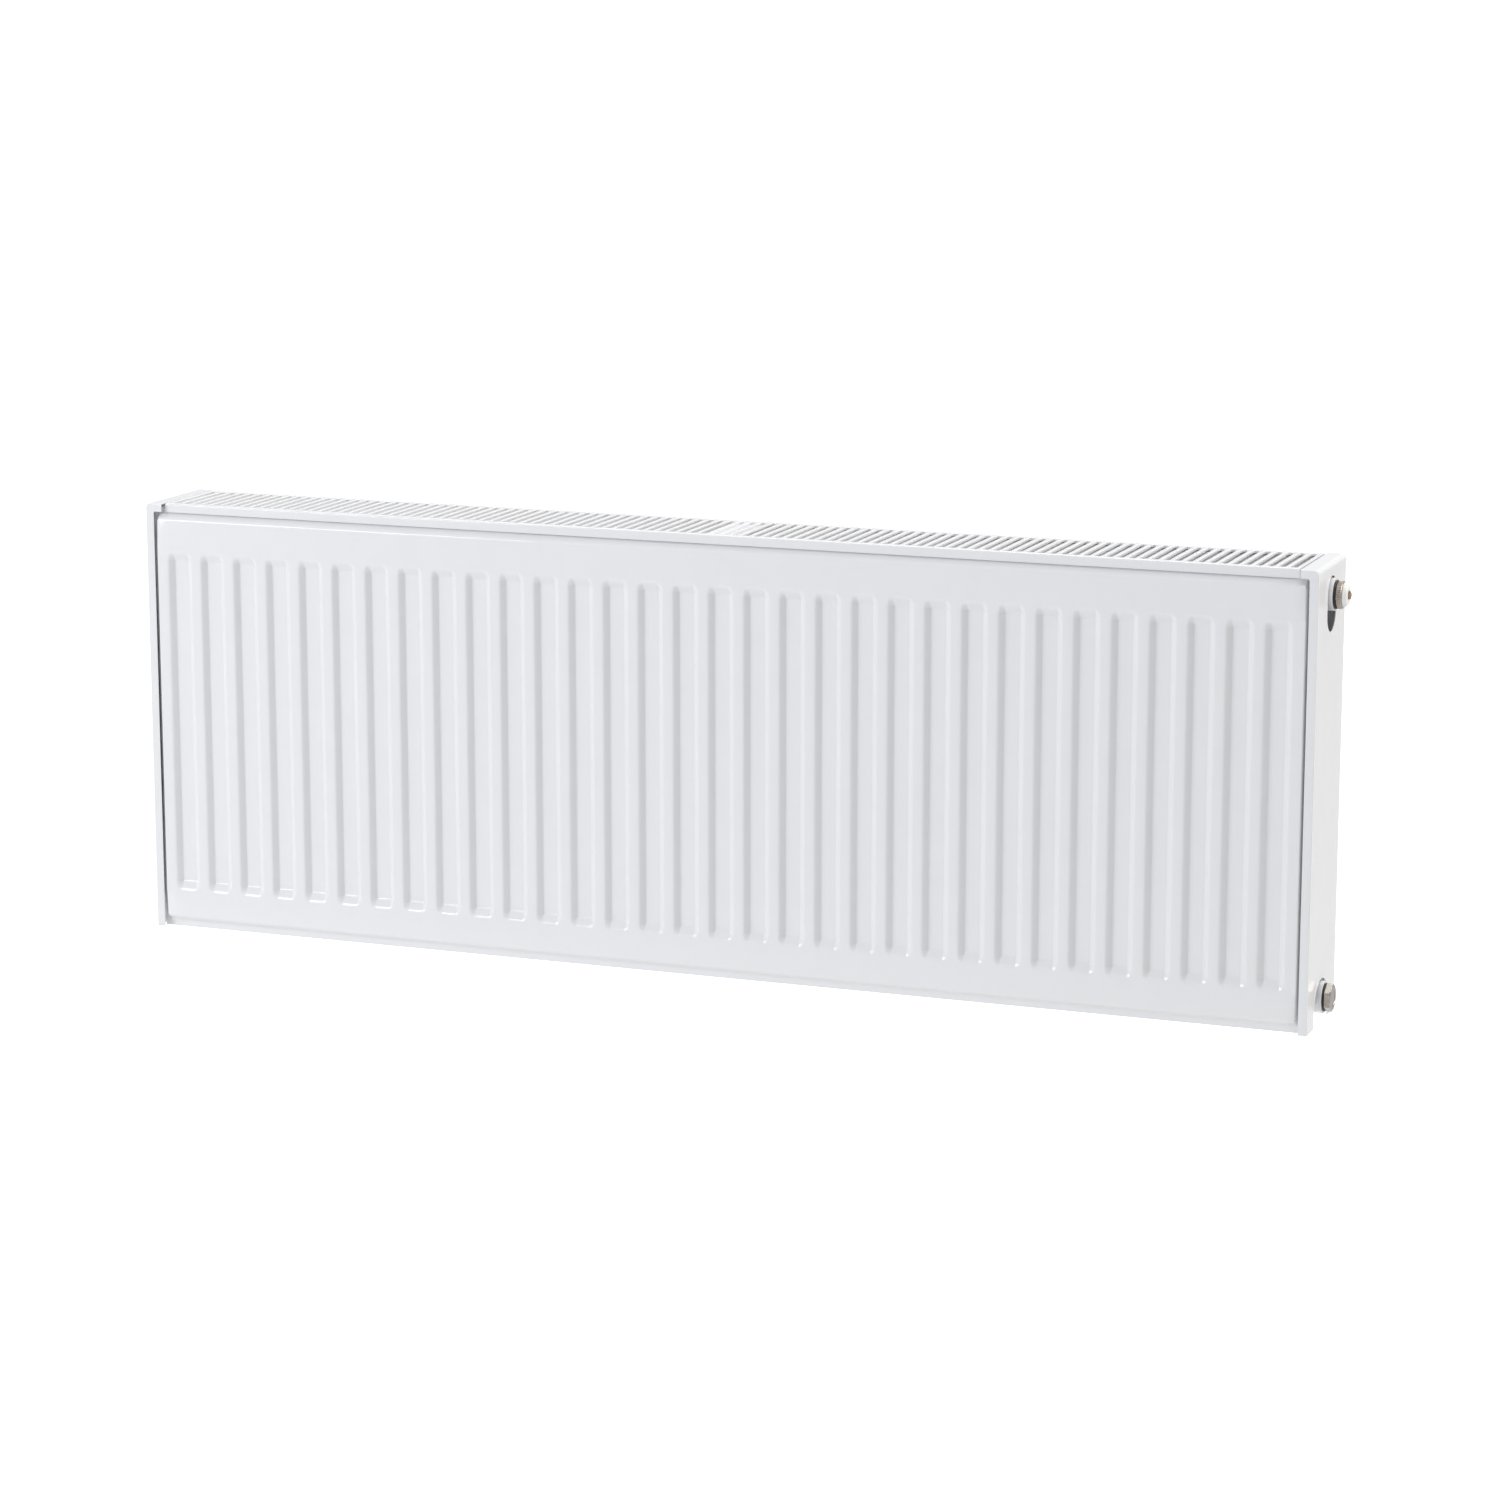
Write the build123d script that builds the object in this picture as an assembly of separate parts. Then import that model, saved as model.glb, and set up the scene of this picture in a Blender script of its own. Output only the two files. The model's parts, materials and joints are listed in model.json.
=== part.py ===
from build123d import *

import math
import os

# A white enamelled steel panel radiator: two water panels, two convectors between them, a top
# grille, two side panels and four end connections, hung on the wall by four welded lugs.
# Millimetres. X runs along the length, Y from the room to the wall, Z up. Everything is drawn
# with X = 0 at mid-length, Y = 0 on the front plane and Z = 0 on the bottom edge, and is written
# out with its origin at the centre of the four hanging slots, on the wall side of the lugs.

# Overall sizes
LENGTH = 1100.0
HEIGHT = 400.0
DEPTH = 100.0

# Sheets
PANEL_SHEET = 1.2
CASING_SHEET = 1.0
FIN_SHEET = 0.5
SUPPORT_SHEET = 1.2
LUG_SHEET = 2.0
BAR_SHEET = 1.5

# Water panels: two pressed sheets each, welded together round the seam flange
PANEL_SETBACK = 0.6           # raised faces behind the casing's front and rear planes
PANEL_END_GAP = 5.5           # end of the seam flange to the outer face of the side panel
PAD_END_MARGIN = 5.0          # seam flange left beside the raised face, slope included
PAD_END_RUN = 2.5
SEAM_BELOW_PAD = 5.5          # seam flange left under the raised face
PAD_TOP_BELOW_TOP = 8.5       # radiator's top to the upper edge of the raised face's slope
PAD_RUN = 5.2
OUTER_RISE = 7.0
INNER_RISE = 6.0

# Recesses pressed between the water channels
RECESS_PITCH = 100.0 / 3.0
RECESS_END_MARGIN = RECESS_PITCH
RECESS_DEPTH = 5.0
RECESS_FLOOR = 14.0
RECESS_RUN = 4.7
RECESS_END_RUN = 7.7
RECESS_LOW = 37.0             # bottom edge to the recesses' lower end
RECESS_BELOW_TOP = 45.0       # top to the recesses' upper end

# Convectors
FIN_DEPTH = 28.0
FIN_SHARE = 0.5               # width of a fold's base over the pitch
CONVECTOR_LOW = 50.0
CONVECTOR_BELOW_TOP = 55.0

# End connections, G 1/2 inside thread drawn as its plain core bore
CONNECTION_LOW = 22.5
CONNECTION_BELOW_TOP = 27.5
CONNECTION_INSET = 25.0       # cross tube's axis to the side panel's outer face
BOSS_R = 14.0
BOSS_PROUD = 3.0
CROSS_TUBE_R = 11.0
WATERWAY_R = 8.0              # cross tube's bore
BOSS_WAY_R = 7.0              # passage from the tapping to the cross tube
TAPPING_R = 9.32
TAPPING_LENGTH = 15.0
THREAD_CLEARANCE = 0.12

# Side panels and their hooks
SIDE_CORNER_R = 4.5
EDGE_R = 1.2
FLANGE_WIDTH = 8.0
TAB_WIDTH = 16.0
LIP_HEIGHT = 7.5
TAB_INNER_R = 2.0
HOLE_WIDTH = 32.0
NOTCH_WIDTH = 52.0
BOSS_HEADROOM = 2.0           # hole's top above the boss
LIFT = 16.0                   # travel that unhooks a side panel
LIFT_SPARE = 2.0
BAR_HEIGHT = 14.0
BAR_INSET = 12.5              # bar's outer face to the side panel's outer face
UPPER_BAR_BELOW_TOP = 90.0
LOWER_BAR_TOP = 110.0
HOOK_WIDTH = 30.0
HOOK_DROP = 10.0
HOOK_SLACK = 1.6
HOOK_FOOT = 18.0
HANG_CLEARANCE = 0.1

# Top grille and its support
GRILLE_GAP = 1.5
GRILLE_SETBACK = 5.0          # its lips hang just in front of the seam flanges
GRILLE_FOLD_R = 1.6
SLOT_PITCH = 10.0
SLOT_WIDTH = 6.2
SLOT_MARGIN = 11.0            # end of a slot to the radiator's front or rear plane
SLOT_END_MARGIN = 7.5         # last slot's centre to the grille's end
RIM_SHEET = 0.8
RIM_DEPTH = 1.5
SUPPORT_WIDTH = 25.0
SUPPORT_X = 12.0              # its middle, to the right of mid-length
SUPPORT_LEG_CLEARANCE = 0.1

# Hanging lugs on the rear panel
LUG_PITCHES_IN = 3            # recess pitches from the last recess to a lug's centre
LUG_STAND_OFF = 11.0
LUG_HEIGHT = 30.0
LUG_FOOT = 9.0
LUG_SLOT_LENGTH = 18.0
LUG_SLOT_WIDTH = 9.0
LUG_FROM_EDGE = 55.0          # lug's centre to the top or bottom edge

# Air vent and blanking plug
SEAL_GAP = 2.0
SEAL_R = 11.2
SEAL_SQUEEZE = 0.15
SHANK_LENGTH = 12.0
VENT_BODY_R = 12.0
VENT_BODY_LENGTH = 5.0
VENT_CHAMFER = 0.6
NOZZLE_GAP = 0.1              # nozzle's collar to the body's face
NOZZLE_R = 10.5
NOZZLE_COLLAR = 1.8
NOZZLE_LENGTH = 4.4
NOZZLE_TIP_R = 6.5
NOZZLE_BORE_R = 4.0
SPIGOT_R = 7.0
SPIGOT_LENGTH = 3.0
SPOUT_R = 0.6
RUNNING_CLEARANCE = 0.05
BLEED_STEM_R = 2.4
BLEED_STEM_LENGTH = 14.0
BLEED_FLATS = 5.0
BLEED_PROUD = 1.6
PLUG_FLATS = 22.0
PLUG_LENGTH = 5.5
PLUG_CHAMFER = 1.7

# Worked out from the sizes above
HALF = LENGTH / 2
MID_Y = DEPTH / 2
MIDDLE = Plane(origin=(0, MID_Y, 0), z_dir=(0, 1, 0))
GRILLE_UNDER = HEIGHT - CASING_SHEET - RIM_DEPTH
SEAM_TOP = GRILLE_UNDER - SUPPORT_SHEET
SEAM_HALF = HALF - PANEL_END_GAP
PAD_HALF = SEAM_HALF - PAD_END_MARGIN + PAD_END_RUN
PAD_LOW = SEAM_BELOW_PAD
PAD_HIGH = HEIGHT - PAD_TOP_BELOW_TOP
SEAM_Y = PANEL_SETBACK + OUTER_RISE + PANEL_SHEET
INNER_FACE_Y = SEAM_Y + PANEL_SHEET + INNER_RISE
REAR_FACE_Y = DEPTH - PANEL_SETBACK
RECESS_HIGH = HEIGHT - RECESS_BELOW_TOP
# The inner sheet is pressed far enough to meet the outer sheet's floors, where both are welded
INNER_RECESS_DEPTH = INNER_RISE + (OUTER_RISE - RECESS_DEPTH)
CONNECTION_HIGH = HEIGHT - CONNECTION_BELOW_TOP
LUG_PLANE_Y = REAR_FACE_Y + LUG_STAND_OFF
LUG_LOW = LUG_FROM_EDGE
LUG_HIGH = HEIGHT - LUG_FROM_EDGE
BOSS_END = HALF + BOSS_PROUD
SEAL_END = BOSS_END + SEAL_GAP
ORIGIN = (0.0, LUG_PLANE_Y, (LUG_LOW + LUG_HIGH) / 2)
OVERSHOOT = 1.0               # extra depth on cutting shapes
NUDGE = 1e-6                  # keeps a whole number of pitches whole


def block(x0, x1, y0, y1, z0, z1):
    """A box between two corners."""
    centre = ((x0 + x1) / 2, (y0 + y1) / 2, (z0 + z1) / 2)
    return Pos(*centre) * Box(x1 - x0, y1 - y0, z1 - z0)


def along_x(radius, x0, x1, y=0.0, z=0.0):
    """A cylinder along X."""
    return Pos((x0 + x1) / 2, y, z) * Rot(0, 90, 0) * Cylinder(radius, abs(x1 - x0))


def along_y(radius, y0, y1, x=0.0, z=0.0):
    """A cylinder along Y."""
    return Pos(x, (y0 + y1) / 2, z) * Rot(90, 0, 0) * Cylinder(radius, abs(y1 - y0))


def spaced(pitch, span):
    """Centred places, one pitch apart, as many as fit in the span."""
    gaps = math.floor(span / pitch + NUDGE)
    return [(i - gaps / 2) * pitch for i in range(gaps + 1)]


def frustum(half, run, low, high, end_run, y0, y1):
    """A block with flat sloping sides: half-length and height at y0, in by the runs at y1."""
    plan = Polygon((-half, y0), (half, y0), (half - run, y1), (run - half, y1), align=None)
    side = Polygon((y0, low), (y0, high), (y1, high - end_run), (y1, low + end_run), align=None)
    prism = Pos(0, 0, low) * extrude(plan, high - low, dir=(0, 0, 1))
    profile = Pos(-half, 0, 0) * extrude(Plane.YZ * side, 2 * half, dir=(1, 0, 0))
    return prism & profile


def wall_shift(run, depth):
    """How far a sloping wall's other side lies beyond it, one sheet thickness deeper."""
    return PANEL_SHEET * (math.hypot(run, depth) - run) / depth


def pad(shift, rise, y_base, over=0.0):
    """The raised face's form, standing forward (-Y) from y_base; shift makes it smaller."""
    shift_x = shift * wall_shift(PAD_END_RUN, rise)
    shift_z = shift * wall_shift(PAD_RUN, rise)
    grow = over / rise
    half = PAD_HALF - shift_x + grow * PAD_END_RUN
    low = PAD_LOW + shift_z - grow * PAD_RUN
    high = PAD_HIGH - shift_z + grow * PAD_RUN
    run, end_run = PAD_END_RUN * (1 + grow), PAD_RUN * (1 + grow)
    return frustum(half, run, low, high, end_run, y_base + over, y_base - rise)


def recess(depth, face_y, grow=0.0, over=0.0):
    """One recess pressed into the face at face_y: grow is the sheet's far side, over the mouth."""
    slope, end_slope = RECESS_RUN / depth, RECESS_END_RUN / depth
    deep = depth + grow * PANEL_SHEET
    back = over + grow * PANEL_SHEET
    half = RECESS_FLOOR / 2 + RECESS_RUN + grow * wall_shift(RECESS_RUN, depth) + back * slope
    end = grow * wall_shift(RECESS_END_RUN, depth) + back * end_slope
    span = deep + over
    return frustum(half, span * slope, RECESS_LOW - end, RECESS_HIGH + end, span * end_slope,
                   face_y - over, face_y + deep)


def recess_places():
    return spaced(RECESS_PITCH, LENGTH - 2 * RECESS_END_MARGIN)


def pressed_sheet(rise, depth):
    """A pressed water panel sheet, facing -Y, with its seam flange's joint on Y = 0."""
    face_y = -(PANEL_SHEET + rise)
    flange = block(-SEAM_HALF, SEAM_HALF, -PANEL_SHEET, 0, 0, SEAM_TOP)
    pan = flange + pad(0, rise, -PANEL_SHEET)
    pan -= pad(1, rise, 0, over=OVERSHOOT)
    far_side = recess(depth, face_y, grow=1)
    cup = far_side - recess(depth, face_y, over=OVERSHOOT)
    places = recess_places()
    pan -= [Pos(x, 0, 0) * far_side for x in places]
    return pan + [Pos(x, 0, 0) * cup for x in places]


def connections():
    """The four cross tubes' axes, as side, name, X and Z."""
    found = []
    for side, end in ((-1, "left"), (1, "right")):
        for level, z in (("top", CONNECTION_HIGH), ("bottom", CONNECTION_LOW)):
            found.append((f"connector_{level}_{end}", side, side * (HALF - CONNECTION_INSET), z))
    return found


def water_panels():
    """Outer and inner sheets of both water panels; the inner ones have the waterways."""
    outer = Pos(0, SEAM_Y, 0) * pressed_sheet(OUTER_RISE, RECESS_DEPTH)
    inner = pressed_sheet(INNER_RISE, INNER_RECESS_DEPTH)
    inner = Pos(0, SEAM_Y, 0) * mirror(inner, about=Plane.XZ)
    inner -= [along_y(WATERWAY_R, SEAM_Y, INNER_FACE_Y + OVERSHOOT, x, z)
              for name, side, x, z in connections()]
    return {
        "front_panel_outer": outer,
        "front_panel_inner": inner,
        "rear_panel_inner": mirror(inner, about=MIDDLE),
        "rear_panel_outer": mirror(outer, about=MIDDLE),
    }


def convectors():
    """A folded fin sheet behind each water panel, its bases on the channels."""
    places = recess_places()
    low_line, high_line = [], []
    for before, after in zip(places, places[1:]):
        left = (before + after - RECESS_PITCH * FIN_SHARE) / 2
        right = left + RECESS_PITCH * FIN_SHARE
        tip = FIN_DEPTH - FIN_SHEET
        low_line += [(left, tip), (left, 0), (right, 0), (right, tip)]
        left, right = left + FIN_SHEET, right - FIN_SHEET
        high_line += [(left, FIN_DEPTH), (left, FIN_SHEET), (right, FIN_SHEET), (right, FIN_DEPTH)]
    low_line[0] = (low_line[0][0], FIN_DEPTH)
    low_line[-1] = (low_line[-1][0], FIN_DEPTH)
    outline = Polygon(*low_line, *reversed(high_line), align=None)
    fins = extrude(outline, HEIGHT - CONVECTOR_BELOW_TOP - CONVECTOR_LOW, dir=(0, 0, 1))
    front = Pos(0, INNER_FACE_Y, CONVECTOR_LOW) * fins
    return {"front_convector": front, "rear_convector": mirror(front, about=MIDDLE)}


def connector(side, x, z):
    """A tee that joins both water panels and carries the tapped boss at the radiator's end."""
    tee = along_x(BOSS_R, x - side * BOSS_R, side * BOSS_END, MID_Y, z)
    tee += along_y(CROSS_TUBE_R, INNER_FACE_Y, DEPTH - INNER_FACE_Y, x, z)
    tee -= along_y(WATERWAY_R, INNER_FACE_Y - OVERSHOOT, DEPTH - INNER_FACE_Y + OVERSHOOT, x, z)
    tee -= along_x(BOSS_WAY_R, x, side * BOSS_END, MID_Y, z)
    mouth = side * (BOSS_END + OVERSHOOT)
    return tee - along_x(TAPPING_R, side * (BOSS_END - TAPPING_LENGTH), mouth, MID_Y, z)


def hood(x0, x1, y0, y1, z0, z1, corner_r):
    """A block whose outer top edge, at x1 and z1, is rounded."""
    outline = Rectangle(x1 - x0, z1 - z0)
    corner = outline.vertices().group_by(Axis.X)[-1].sort_by(Axis.Y)[-1]
    outline = fillet(corner, corner_r)
    face = Pos((x0 + x1) / 2, y1, (z0 + z1) / 2) * Rot(90, 0, 0) * outline
    return extrude(face, y1 - y0, dir=(0, -1, 0))


def side_panel():
    """The right side panel: folded front, rear and top, with holes that clear the two bosses."""
    tab_end = HALF - TAB_WIDTH
    skin = CASING_SHEET
    form = hood(tab_end, HALF, 0, DEPTH, 0, HEIGHT, SIDE_CORNER_R)
    rims = [e for e in form.edges() if e.center().Z > NUDGE and e.center().X > tab_end + NUDGE
            and min(abs(e.center().Y), abs(e.center().Y - DEPTH)) < NUDGE]
    form = fillet(rims, EDGE_R)
    panel = form - hood(tab_end - OVERSHOOT, HALF - skin, skin, DEPTH - skin,
                        -OVERSHOOT, HEIGHT - skin, SIDE_CORNER_R - skin)
    window = hood(tab_end - OVERSHOOT, HALF - FLANGE_WIDTH, -OVERSHOOT, DEPTH + OVERSHOOT,
                  -OVERSHOOT, HEIGHT - LIP_HEIGHT, TAB_INNER_R)
    top = CONNECTION_HIGH + BOSS_R + BOSS_HEADROOM
    bottom = CONNECTION_HIGH - BOSS_R - LIFT - LIFT_SPARE
    hole = SlotOverall(top - bottom, HOLE_WIDTH, rotation=90)
    arch_top = CONNECTION_LOW + BOSS_R + BOSS_HEADROOM
    arch_centre = arch_top - NOTCH_WIDTH / 2
    arch = along_x(NOTCH_WIDTH / 2, HALF - FLANGE_WIDTH, HALF + OVERSHOOT, MID_Y, arch_centre)
    arch += block(HALF - FLANGE_WIDTH, HALF + OVERSHOOT, MID_Y - NOTCH_WIDTH / 2,
                  MID_Y + NOTCH_WIDTH / 2, -OVERSHOOT, arch_centre)
    hole = Pos(HALF - FLANGE_WIDTH, MID_Y, (top + bottom) / 2) * extrude(Plane.YZ * hole, TAB_WIDTH)
    return panel - [window, hole, arch]


def bar_tops():
    """Heights of the bars that the side panels hang on."""
    return (HEIGHT - UPPER_BAR_BELOW_TOP, LOWER_BAR_TOP)


def hook_bars():
    """Two bars across the right end, welded between the water panels."""
    face = HALF - BAR_INSET
    return [block(face - BAR_SHEET, face, INNER_FACE_Y, DEPTH - INNER_FACE_Y, top - BAR_HEIGHT, top)
            for top in bar_tops()]


def side_hooks():
    """Two folded hooks on the right side panel's inner face, over the bars."""
    wall = HALF - CASING_SHEET
    tongue = HALF - BAR_INSET - BAR_SHEET - HOOK_SLACK
    near, far = MID_Y - HOOK_WIDTH / 2, MID_Y + HOOK_WIDTH / 2
    found = []
    for top in bar_tops():
        seat = top + HANG_CLEARANCE
        web = block(tongue - BAR_SHEET, wall, near, far, seat, seat + BAR_SHEET)
        web += block(tongue - BAR_SHEET, tongue, near, far, seat - HOOK_DROP, seat)
        found.append(web + block(wall - BAR_SHEET, wall, near, far, seat, seat + HOOK_FOOT))
    return found


def top_grille():
    """The lift-off grille: a folded tray of slots whose long sides are turned down."""
    half = HALF - TAB_WIDTH - GRILLE_GAP
    near, far = GRILLE_SETBACK, DEPTH - GRILLE_SETBACK
    form = block(-half, half, near, far, HEIGHT - LIP_HEIGHT, HEIGHT)
    form = fillet(form.edges().filter_by(Axis.X).group_by(Axis.Z)[-1], GRILLE_FOLD_R)
    hollow = block(-half - OVERSHOOT, half + OVERSHOOT, near + CASING_SHEET, far - CASING_SHEET,
                   HEIGHT - LIP_HEIGHT - OVERSHOOT, HEIGHT - CASING_SHEET)
    form -= fillet(hollow.edges().filter_by(Axis.X).group_by(Axis.Z)[-1], GRILLE_FOLD_R - CASING_SHEET)
    places = spaced(SLOT_PITCH, 2 * (half - SLOT_END_MARGIN))
    length = DEPTH - 2 * SLOT_MARGIN
    opening = SlotOverall(length, SLOT_WIDTH, rotation=90)
    rim = SlotOverall(length + 2 * RIM_SHEET, SLOT_WIDTH + 2 * RIM_SHEET, rotation=90)
    rims = [Pos(x, MID_Y, GRILLE_UNDER) * extrude(rim, RIM_DEPTH) for x in places]
    slots = [Pos(x, MID_Y, GRILLE_UNDER - OVERSHOOT) * extrude(opening, HEIGHT) for x in places]
    return form + rims - slots


def grille_support():
    """A folded strip from one seam flange to the other; the grille rests on it."""
    seam_front = SEAM_Y - PANEL_SHEET - SUPPORT_LEG_CLEARANCE
    seam_back = SEAM_Y + PANEL_SHEET + SUPPORT_LEG_CLEARANCE
    near, far = SUPPORT_X - SUPPORT_WIDTH / 2, SUPPORT_X + SUPPORT_WIDTH / 2
    front = seam_front - SUPPORT_SHEET
    strip = block(near, far, front, DEPTH - front, SEAM_TOP, GRILLE_UNDER)
    for leg in (front, seam_back, DEPTH - seam_front, DEPTH - seam_back - SUPPORT_SHEET):
        strip += block(near, far, leg, leg + SUPPORT_SHEET, HEIGHT - LIP_HEIGHT, SEAM_TOP)
    return strip


def hanging_lug(x, z):
    """A hat-shaped strap welded to two channels of the rear panel, with a slot for the hook."""
    reach = RECESS_PITCH / 2 - LUG_FOOT / 2
    back, skin = REAR_FACE_Y, LUG_SHEET
    low, high = z - LUG_HEIGHT / 2, z + LUG_HEIGHT / 2
    strap = block(x - reach - skin, x + reach + skin, LUG_PLANE_Y - skin, LUG_PLANE_Y, low, high)
    for side in (-1, 1):
        inner = x + side * reach
        outer = inner + side * skin
        toe = inner + side * LUG_FOOT
        strap += block(min(inner, outer), max(inner, outer), back, LUG_PLANE_Y, low, high)
        strap += block(min(inner, toe), max(inner, toe), back, back + skin, low, high)
    slot = Rot(90, 0, 0) * SlotOverall(LUG_SLOT_LENGTH, LUG_SLOT_WIDTH)
    slot = Pos(x, LUG_PLANE_Y + OVERSHOOT, z) * slot
    return strap - extrude(slot, 2 * OVERSHOOT + skin, dir=(0, -1, 0))


def seal(z):
    """An O-ring squeezed between a boss and the head of what is screwed into it."""
    ring = Torus(SEAL_R, SEAL_GAP / 2 + SEAL_SQUEEZE)
    ring = Pos((BOSS_END + SEAL_END) / 2, MID_Y, z) * Rot(0, 90, 0) * ring
    reach = SEAL_R + SEAL_GAP
    return ring & block(BOSS_END, SEAL_END, MID_Y - reach, MID_Y + reach, z - reach, z + reach)


def shank():
    """The screwed end of a plug, about X = 0 at the O-ring's outer side."""
    return along_x(TAPPING_R - THREAD_CLEARANCE, -SEAL_GAP - SHANK_LENGTH, 0)


def air_vent_body():
    """The nickel-plated body that screws into the boss, bored for the nozzle and the screw."""
    head = along_x(VENT_BODY_R, 0, VENT_BODY_LENGTH)
    head = chamfer(head.edges().filter_by(GeomType.CIRCLE), VENT_CHAMFER)
    head += shank()
    spigot_end = VENT_BODY_LENGTH - SPIGOT_LENGTH - NOZZLE_GAP
    head -= along_x(SPIGOT_R + RUNNING_CLEARANCE, spigot_end, VENT_BODY_LENGTH + OVERSHOOT)
    shank_end = -SEAL_GAP - SHANK_LENGTH - OVERSHOOT
    return head - along_x(BLEED_STEM_R + RUNNING_CLEARANCE, shank_end, VENT_BODY_LENGTH)


def vent_nozzle():
    """The white swivelling outlet, with its spigot in the body and a small spout hole."""
    start = VENT_BODY_LENGTH + NOZZLE_GAP
    shoulder = start + NOZZLE_COLLAR
    end = VENT_BODY_LENGTH + NOZZLE_LENGTH
    outline = Polygon((start - SPIGOT_LENGTH, NOZZLE_BORE_R), (start - SPIGOT_LENGTH, SPIGOT_R),
                      (start, SPIGOT_R), (start, NOZZLE_R), (shoulder, NOZZLE_R),
                      (end, NOZZLE_TIP_R), (end, NOZZLE_BORE_R), align=None)
    nozzle = revolve(outline, Axis.X)
    wall = (NOZZLE_BORE_R + NOZZLE_R) / 2
    spout = Pos((start + shoulder) / 2, 0, -wall) * Cylinder(SPOUT_R, 2 * (NOZZLE_R - NOZZLE_BORE_R))
    return nozzle - spout


def bleed_screw():
    """The brass screw with a square for the bleed key, corners up and down."""
    start = VENT_BODY_LENGTH + NOZZLE_GAP
    tip = VENT_BODY_LENGTH + NOZZLE_LENGTH + BLEED_PROUD
    square = Plane(origin=(start, 0, 0), x_dir=(0, 0, 1), z_dir=(1, 0, 0))
    head = extrude(square * RegularPolygon(BLEED_FLATS / 2, 4, major_radius=False), tip - start)
    return head + along_x(BLEED_STEM_R, VENT_BODY_LENGTH - BLEED_STEM_LENGTH, start)


def blanking_plug():
    """The nickel-plated hexagon plug, with one corner up."""
    start = Plane(origin=(0, 0, 0), x_dir=(0, 0, 1), z_dir=(1, 0, 0))
    head = extrude(start * RegularPolygon(PLUG_FLATS / 2, 6, major_radius=False), PLUG_LENGTH)
    envelope = along_x(PLUG_FLATS / math.sqrt(3), 0, PLUG_LENGTH)
    rim = envelope.edges().filter_by(GeomType.CIRCLE).sort_by(Axis.X)[-1]
    head &= chamfer(rim, PLUG_CHAMFER * math.tan(math.radians(30)), PLUG_CHAMFER)
    return head + shank()


def parts():
    """Every node's shape, by name."""
    found = {**water_panels(), **convectors()}
    for name, side, x, z in connections():
        found[name] = connector(side, x, z)
    lug_x = recess_places()[-1 - LUG_PITCHES_IN]
    for level, z in (("top", LUG_HIGH), ("bottom", LUG_LOW)):
        found[f"hanging_lug_{level}_left"] = hanging_lug(-lug_x, z)
        found[f"hanging_lug_{level}_right"] = hanging_lug(lug_x, z)
    found["grille_support"] = grille_support()
    found["top_grille"] = top_grille()
    handed = {"side_panel": side_panel(), "side_hooks": Compound(side_hooks()),
              "hook_bars": Compound(hook_bars())}
    for name, right in handed.items():
        found[f"{name}_right"] = right
        found[f"{name}_left"] = mirror(right, about=Plane.YZ)
    vent = Pos(SEAL_END, MID_Y, CONNECTION_HIGH)
    found["air_vent_body"] = vent * air_vent_body()
    found["vent_nozzle"] = vent * vent_nozzle()
    found["bleed_screw"] = vent * bleed_screw()
    found["air_vent_seal"] = seal(CONNECTION_HIGH)
    found["blanking_plug"] = Pos(SEAL_END, MID_Y, CONNECTION_LOW) * blanking_plug()
    found["blanking_plug_seal"] = seal(CONNECTION_LOW)
    return found


os.makedirs("parts", exist_ok=True)
for node, shape in parts().items():
    placed = Pos(-ORIGIN[0], -ORIGIN[1], -ORIGIN[2]) * shape
    export_step(placed, f"parts/{node}.step")
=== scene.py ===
import json
import math

import bmesh
import bpy
import numpy as np
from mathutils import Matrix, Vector

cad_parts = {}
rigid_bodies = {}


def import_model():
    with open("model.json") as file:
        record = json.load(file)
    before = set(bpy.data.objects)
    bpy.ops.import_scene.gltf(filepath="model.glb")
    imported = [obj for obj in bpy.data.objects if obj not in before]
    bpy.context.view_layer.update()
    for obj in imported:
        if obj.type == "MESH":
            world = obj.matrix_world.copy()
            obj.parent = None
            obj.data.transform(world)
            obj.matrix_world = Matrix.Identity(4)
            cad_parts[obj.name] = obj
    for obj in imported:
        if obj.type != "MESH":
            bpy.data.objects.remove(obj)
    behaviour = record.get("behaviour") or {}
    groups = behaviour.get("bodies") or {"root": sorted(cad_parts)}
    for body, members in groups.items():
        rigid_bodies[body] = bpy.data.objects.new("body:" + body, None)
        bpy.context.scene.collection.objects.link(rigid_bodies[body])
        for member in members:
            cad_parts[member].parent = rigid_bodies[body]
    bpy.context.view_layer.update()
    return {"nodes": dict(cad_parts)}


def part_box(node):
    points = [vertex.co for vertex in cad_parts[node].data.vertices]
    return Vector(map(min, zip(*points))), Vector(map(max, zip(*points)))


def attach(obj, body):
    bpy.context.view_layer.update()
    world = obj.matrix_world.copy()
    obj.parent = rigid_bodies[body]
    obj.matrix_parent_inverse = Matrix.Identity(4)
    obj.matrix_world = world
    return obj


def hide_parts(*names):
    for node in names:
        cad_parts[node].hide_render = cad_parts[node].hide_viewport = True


# A white enamelled steel panel radiator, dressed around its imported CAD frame.
# Sizes below are millimetres on the radiator's own axes: X from mid-length, Y from the front
# plane to the wall, Z from the bottom edge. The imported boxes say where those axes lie.

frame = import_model()

MM = 0.001
FRONT_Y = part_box("side_panel_right")[0][1] / MM
BOTTOM_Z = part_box("side_panel_right")[0][2] / MM
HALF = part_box("side_panel_right")[1][0] / MM
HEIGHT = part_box("side_panel_right")[1][2] / MM - BOTTOM_Z
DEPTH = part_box("side_panel_right")[1][1] / MM - FRONT_Y
MID_Y = DEPTH / 2

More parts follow.
